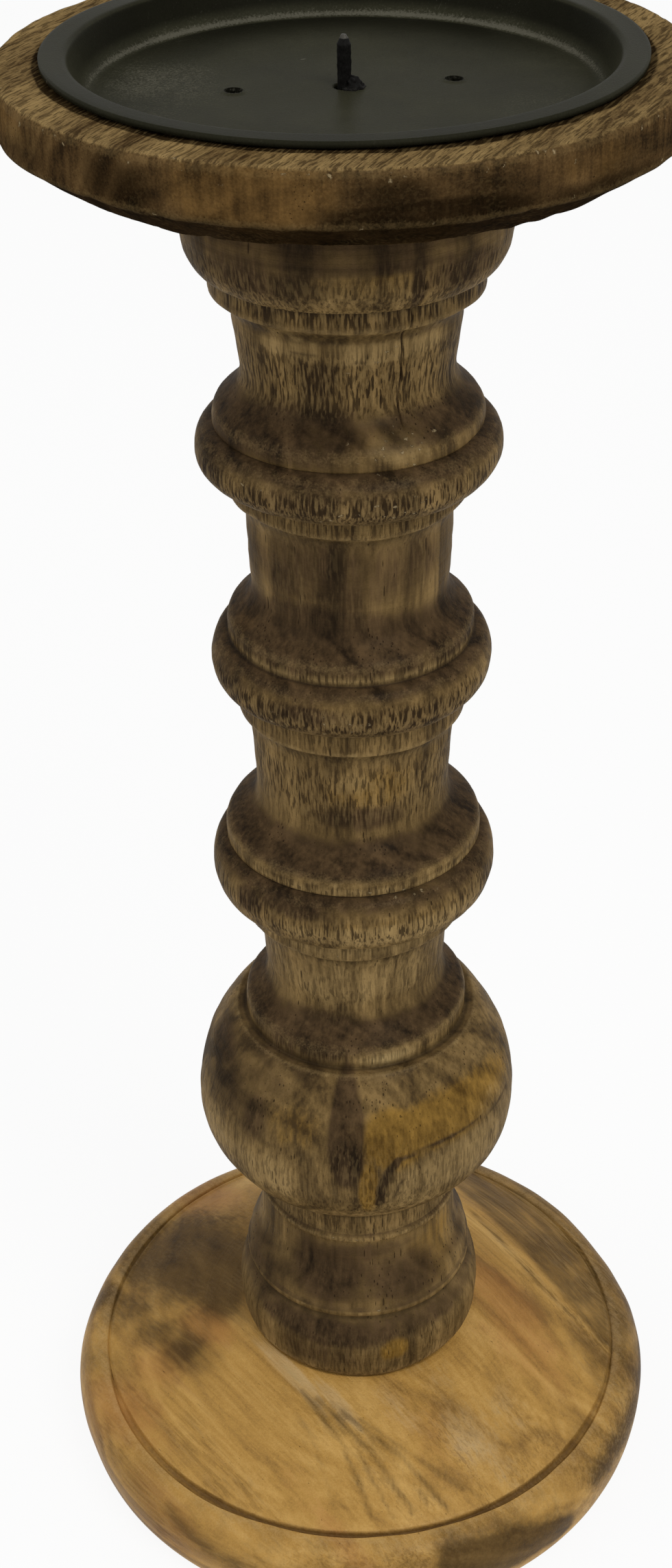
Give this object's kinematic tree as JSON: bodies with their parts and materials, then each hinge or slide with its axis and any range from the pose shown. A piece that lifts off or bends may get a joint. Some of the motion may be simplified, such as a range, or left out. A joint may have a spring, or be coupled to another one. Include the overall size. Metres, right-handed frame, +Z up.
{
  "type": "pillar candle holder",
  "caption": "Turned wooden pillar candle holder: a baluster stem with beads and a ball on a domed round base, and a top disc with a lift-out black metal pan that has a spike for the candle.",
  "frame": {"origin": "on the table, in the middle of the felt pads, on the axis of the turned stem", "axes": "+Z up along the stem; the picture looks along +Y, so -Y faces the viewer and +X is to the viewer's right"},
  "size_m": [0.122, 0.122, 0.2952],
  "materials": {
    "base_wood": "honey-brown antiqued wax, darker in patches and in the turned line",
    "stem_wood": "walnut-brown antiqued stain over open-pored wood, worn lighter on the edges",
    "disc_wood": "dark brown stain on the side and underside, pale worn top face",
    "plate_paint": "matte charcoal-black paint with light scuffs",
    "spike_steel": "blackened steel with a bright blunt tip",
    "screw_zinc": "zinc plated",
    "felt": "dark brown felt"
  },
  "bodies": {
    "holder": {"base": "base_wood", "stem": "stem_wood", "top_disc": "disc_wood", "top_screw": "screw_zinc", "top_washer": "screw_zinc", "base_screw": "screw_zinc", "base_washer": "screw_zinc", "felt_pad_1": "felt", "felt_pad_2": "felt", "felt_pad_3": "felt", "felt_pad_4": "felt"},
    "plate": {"candle_plate": "plate_paint", "spike": "spike_steel", "spike_weld": "spike_steel"}
  },
  "joints": [
    {"name": "plate_lift", "type": "slide", "parent": "holder", "child": "plate", "axis": [0, 0, 1], "range_m": [0, 0.03]}
  ]
}
